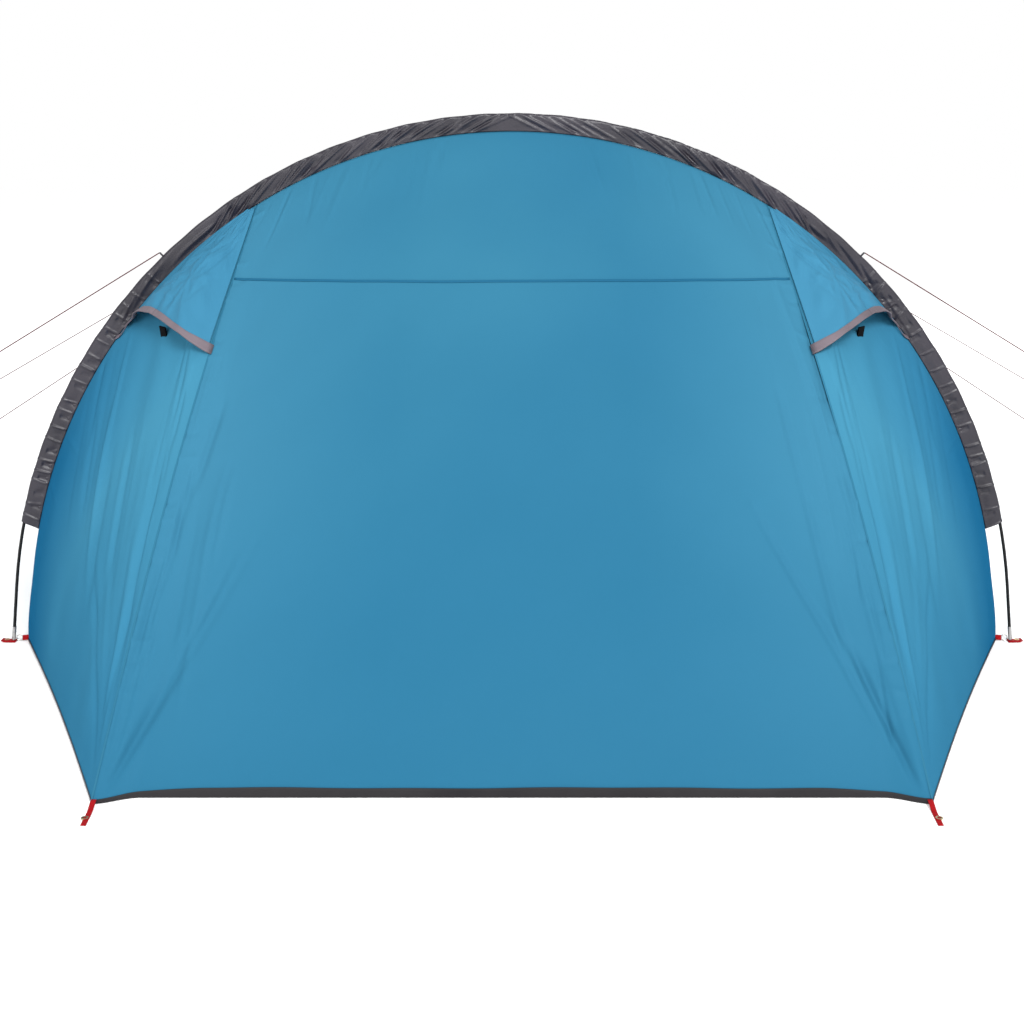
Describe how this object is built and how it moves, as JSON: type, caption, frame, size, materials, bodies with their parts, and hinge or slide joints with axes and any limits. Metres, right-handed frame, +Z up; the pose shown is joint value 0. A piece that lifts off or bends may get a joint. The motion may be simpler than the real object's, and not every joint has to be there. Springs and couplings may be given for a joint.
{
  "type": "tunnel tent",
  "caption": "Tunnel tent on equal pole hoops, with sloping end walls, hooded rear vents, a lift-up front door, an inner room divider and guy lines with sliding runners.",
  "frame": {"origin": "on the ground, under the middle of the tent's length and width", "axes": "+Z up; +X across the tent; the rear end wall faces -Y and the front door faces +Y"},
  "size_m": [5.4936, 4.833, 1.4288],
  "materials": {
    "black_plastic": "matt",
    "blue_flysheet": "satin coated polyester",
    "dark_hem": "coated cloth band",
    "eyelet_brass": "dull",
    "ferrule_metal": "dull",
    "grey_sleeve_cloth": "satin polyester",
    "grey_webbing": "woven webbing",
    "groundsheet_cloth": "coated woven sheet",
    "guy_cord": "braided cord",
    "inner_cloth": "light breathable polyester",
    "mauve_binding": "woven tape",
    "pole_glassfibre": "smooth black",
    "red_webbing": "woven webbing",
    "ring_steel": "bright",
    "runner_plastic": "matt moulded",
    "vent_mesh": "fine net",
    "zip_metal": "black painted",
    "zip_tape": "woven tape with coil"
  },
  "bodies": {
    "tent": {"divider": "inner_cloth", "door_ties": "black_plastic", "door_zips": "zip_tape", "fly_front_left": "blue_flysheet", "fly_front_right": "blue_flysheet", "fly_front_roof": "blue_flysheet", "fly_rear_left": "blue_flysheet", "fly_rear_right": "blue_flysheet", "fly_rear_roof": "blue_flysheet", "foot_rings": "ring_steel", "front_flank_left": "blue_flysheet", "front_flank_right": "blue_flysheet", "front_gusset_left": "blue_flysheet", "front_gusset_right": "blue_flysheet", "front_hem": "dark_hem", "front_lunette": "blue_flysheet", "groundsheet": "groundsheet_cloth", "guy_line_front_left": "guy_cord", "guy_line_front_right": "guy_cord", "guy_line_middle_left": "guy_cord", "guy_line_middle_right": "guy_cord", "guy_line_rear_left": "guy_cord", "guy_line_rear_right": "guy_cord", "guy_tabs": "grey_webbing", "inner_zip": "zip_tape", "peg_eyelets": "eyelet_brass", "pole_metal": "ferrule_metal", "pole_rods": "pole_glassfibre", "rear_gusset_left": "blue_flysheet", "rear_gusset_right": "blue_flysheet", "rear_hem": "dark_hem", "rear_panel": "blue_flysheet", "side_piping": "mauve_binding", "sleeve_front": "grey_sleeve_cloth", "sleeve_middle": "grey_sleeve_cloth", "sleeve_rear": "grey_sleeve_cloth", "vent_meshes": "vent_mesh", "webbing_straps": "red_webbing"},
    "vent_hood_left": {"vent_hood_left": "blue_flysheet", "vent_binding_left": "mauve_binding"},
    "vent_prop_left": {"vent_prop_left": "black_plastic"},
    "vent_hood_right": {"vent_hood_right": "blue_flysheet", "vent_binding_right": "mauve_binding"},
    "vent_prop_right": {"vent_prop_right": "black_plastic"},
    "front_door": {"front_door": "blue_flysheet", "door_hem": "dark_hem"},
    "door_slider_left": {"door_slider_left": "zip_metal"},
    "door_puller_left": {"door_puller_left": "zip_metal"},
    "door_slider_right": {"door_slider_right": "zip_metal"},
    "door_puller_right": {"door_puller_right": "zip_metal"},
    "inner_door": {"inner_door": "inner_cloth"},
    "inner_slider": {"inner_slider": "zip_metal"},
    "runner_rear_left": {"runner_rear_left": "runner_plastic"},
    "runner_rear_right": {"runner_rear_right": "runner_plastic"},
    "runner_middle_left": {"runner_middle_left": "runner_plastic"},
    "runner_middle_right": {"runner_middle_right": "runner_plastic"},
    "runner_front_left": {"runner_front_left": "runner_plastic"},
    "runner_front_right": {"runner_front_right": "runner_plastic"}
  },
  "joints": [
    {"name": "vent_close_left", "type": "hinge", "parent": "tent", "child": "vent_hood_left", "pos_m": [-0.69368, -1.30899, 1.18775], "axis": [-0.7147, 0.6954, 0.0751], "range_deg": [-5, 0]},
    {"name": "prop_fold_left", "type": "hinge", "parent": "tent", "child": "vent_prop_left", "pos_m": [-0.89615, -1.47559, 0.81939], "axis": [0.7147, -0.6954, -0.0751], "range_deg": [0, 118]},
    {"name": "vent_close_right", "type": "hinge", "parent": "tent", "child": "vent_hood_right", "pos_m": [0.69368, -1.30899, 1.18775], "axis": [-0.7147, -0.6954, -0.0751], "range_deg": [-5, 0]},
    {"name": "prop_fold_right", "type": "hinge", "parent": "tent", "child": "vent_prop_right", "pos_m": [0.89615, -1.47559, 0.81939], "axis": [0.7147, 0.6954, 0.0751], "range_deg": [0, 118]},
    {"name": "door_lift", "type": "hinge", "parent": "tent", "child": "front_door", "pos_m": [0, 1.7392, 1.04492], "axis": [1, 0, 0], "range_deg": [0, 75]},
    {"name": "door_zip_left", "type": "slide", "parent": "tent", "child": "door_slider_left", "axis": [0.0341, -0.4693, 0.8824], "range_m": [0, 1]},
    {"name": "puller_swing_left", "type": "hinge", "parent": "door_slider_left", "child": "door_puller_left", "pos_m": [-0.60645, 2.26586, 0.07185], "axis": [1, 0, 0], "range_deg": [0, 150]},
    {"name": "door_zip_right", "type": "slide", "parent": "tent", "child": "door_slider_right", "axis": [-0.0341, -0.4693, 0.8824], "range_m": [0, 1]},
    {"name": "puller_swing_right", "type": "hinge", "parent": "door_slider_right", "child": "door_puller_right", "pos_m": [0.60645, 2.26586, 0.07185], "axis": [1, 0, 0], "range_deg": [0, 150]},
    {"name": "inner_door_swing", "type": "hinge", "parent": "tent", "child": "inner_door", "pos_m": [-0.30075, 0.2865, 0.58], "axis": [0, 0, 1], "range_deg": [0, 120]},
    {"name": "inner_zip_slide", "type": "slide", "parent": "tent", "child": "inner_slider", "axis": [0, 0, 1], "range_m": [0, 0.98]},
    {"name": "runner_slide_rear_left", "type": "slide", "parent": "tent", "child": "runner_rear_left", "axis": [0.8499, 0.005, 0.5269], "range_m": [-0.45, 0.1]},
    {"name": "runner_slide_rear_right", "type": "slide", "parent": "tent", "child": "runner_rear_right", "axis": [-0.8499, 0.005, 0.5269], "range_m": [-0.45, 0.1]},
    {"name": "runner_slide_middle_left", "type": "slide", "parent": "tent", "child": "runner_middle_left", "axis": [0.8631, 0.0048, 0.5049], "range_m": [-0.45, 0.1]},
    {"name": "runner_slide_middle_right", "type": "slide", "parent": "tent", "child": "runner_middle_right", "axis": [-0.8631, 0.0048, 0.5049], "range_m": [-0.45, 0.1]},
    {"name": "runner_slide_front_left", "type": "slide", "parent": "tent", "child": "runner_front_left", "axis": [0.8346, 0.0053, 0.5508], "range_m": [-0.45, 0.1]},
    {"name": "runner_slide_front_right", "type": "slide", "parent": "tent", "child": "runner_front_right", "axis": [-0.8346, 0.0053, 0.5508], "range_m": [-0.45, 0.1]}
  ]
}
